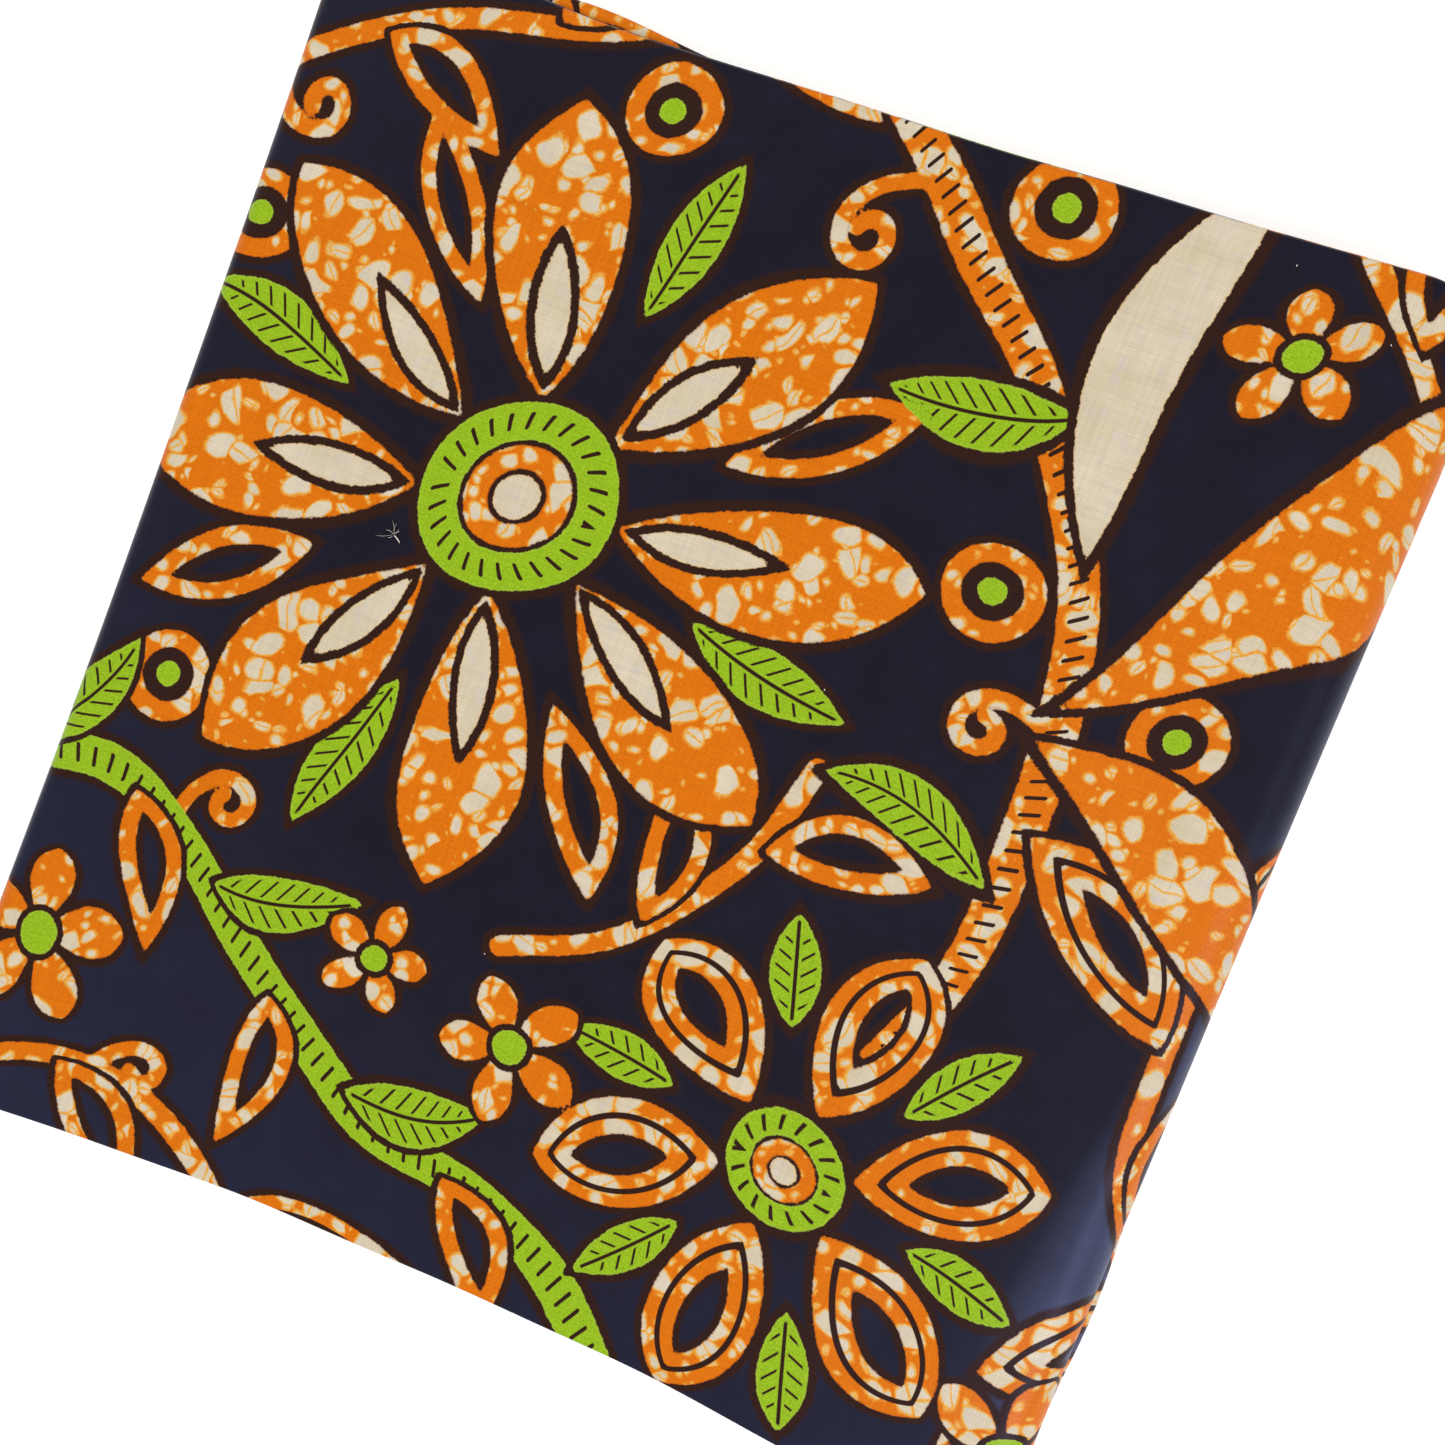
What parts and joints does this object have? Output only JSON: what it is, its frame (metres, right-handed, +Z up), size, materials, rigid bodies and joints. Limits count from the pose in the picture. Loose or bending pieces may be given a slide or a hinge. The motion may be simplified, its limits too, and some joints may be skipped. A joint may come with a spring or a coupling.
{
  "type": "folded length of wax-printed cotton cloth",
  "caption": "Printed cotton cloth folded into a flat square packet, one side a round fold and the others layered edges, lying flat on a surface.",
  "frame": {"origin": "middle of the packet's bounding box, on the surface it lies on", "axes": "+Z up through the packet's thickness, +X towards the round fold, +Y towards the edge where the second layer slips out"},
  "size_m": [0.2688, 0.2854, 0.02],
  "materials": {
    "printed_cotton": "plain-woven wax-printed cotton, matt with a slight press sheen",
    "inner_cotton": "folded edges of the same printed cotton, matt"
  },
  "bodies": {
    "root": {"outer_wrap": "printed_cotton", "inner_layers": "inner_cotton"}
  },
  "joints": []
}
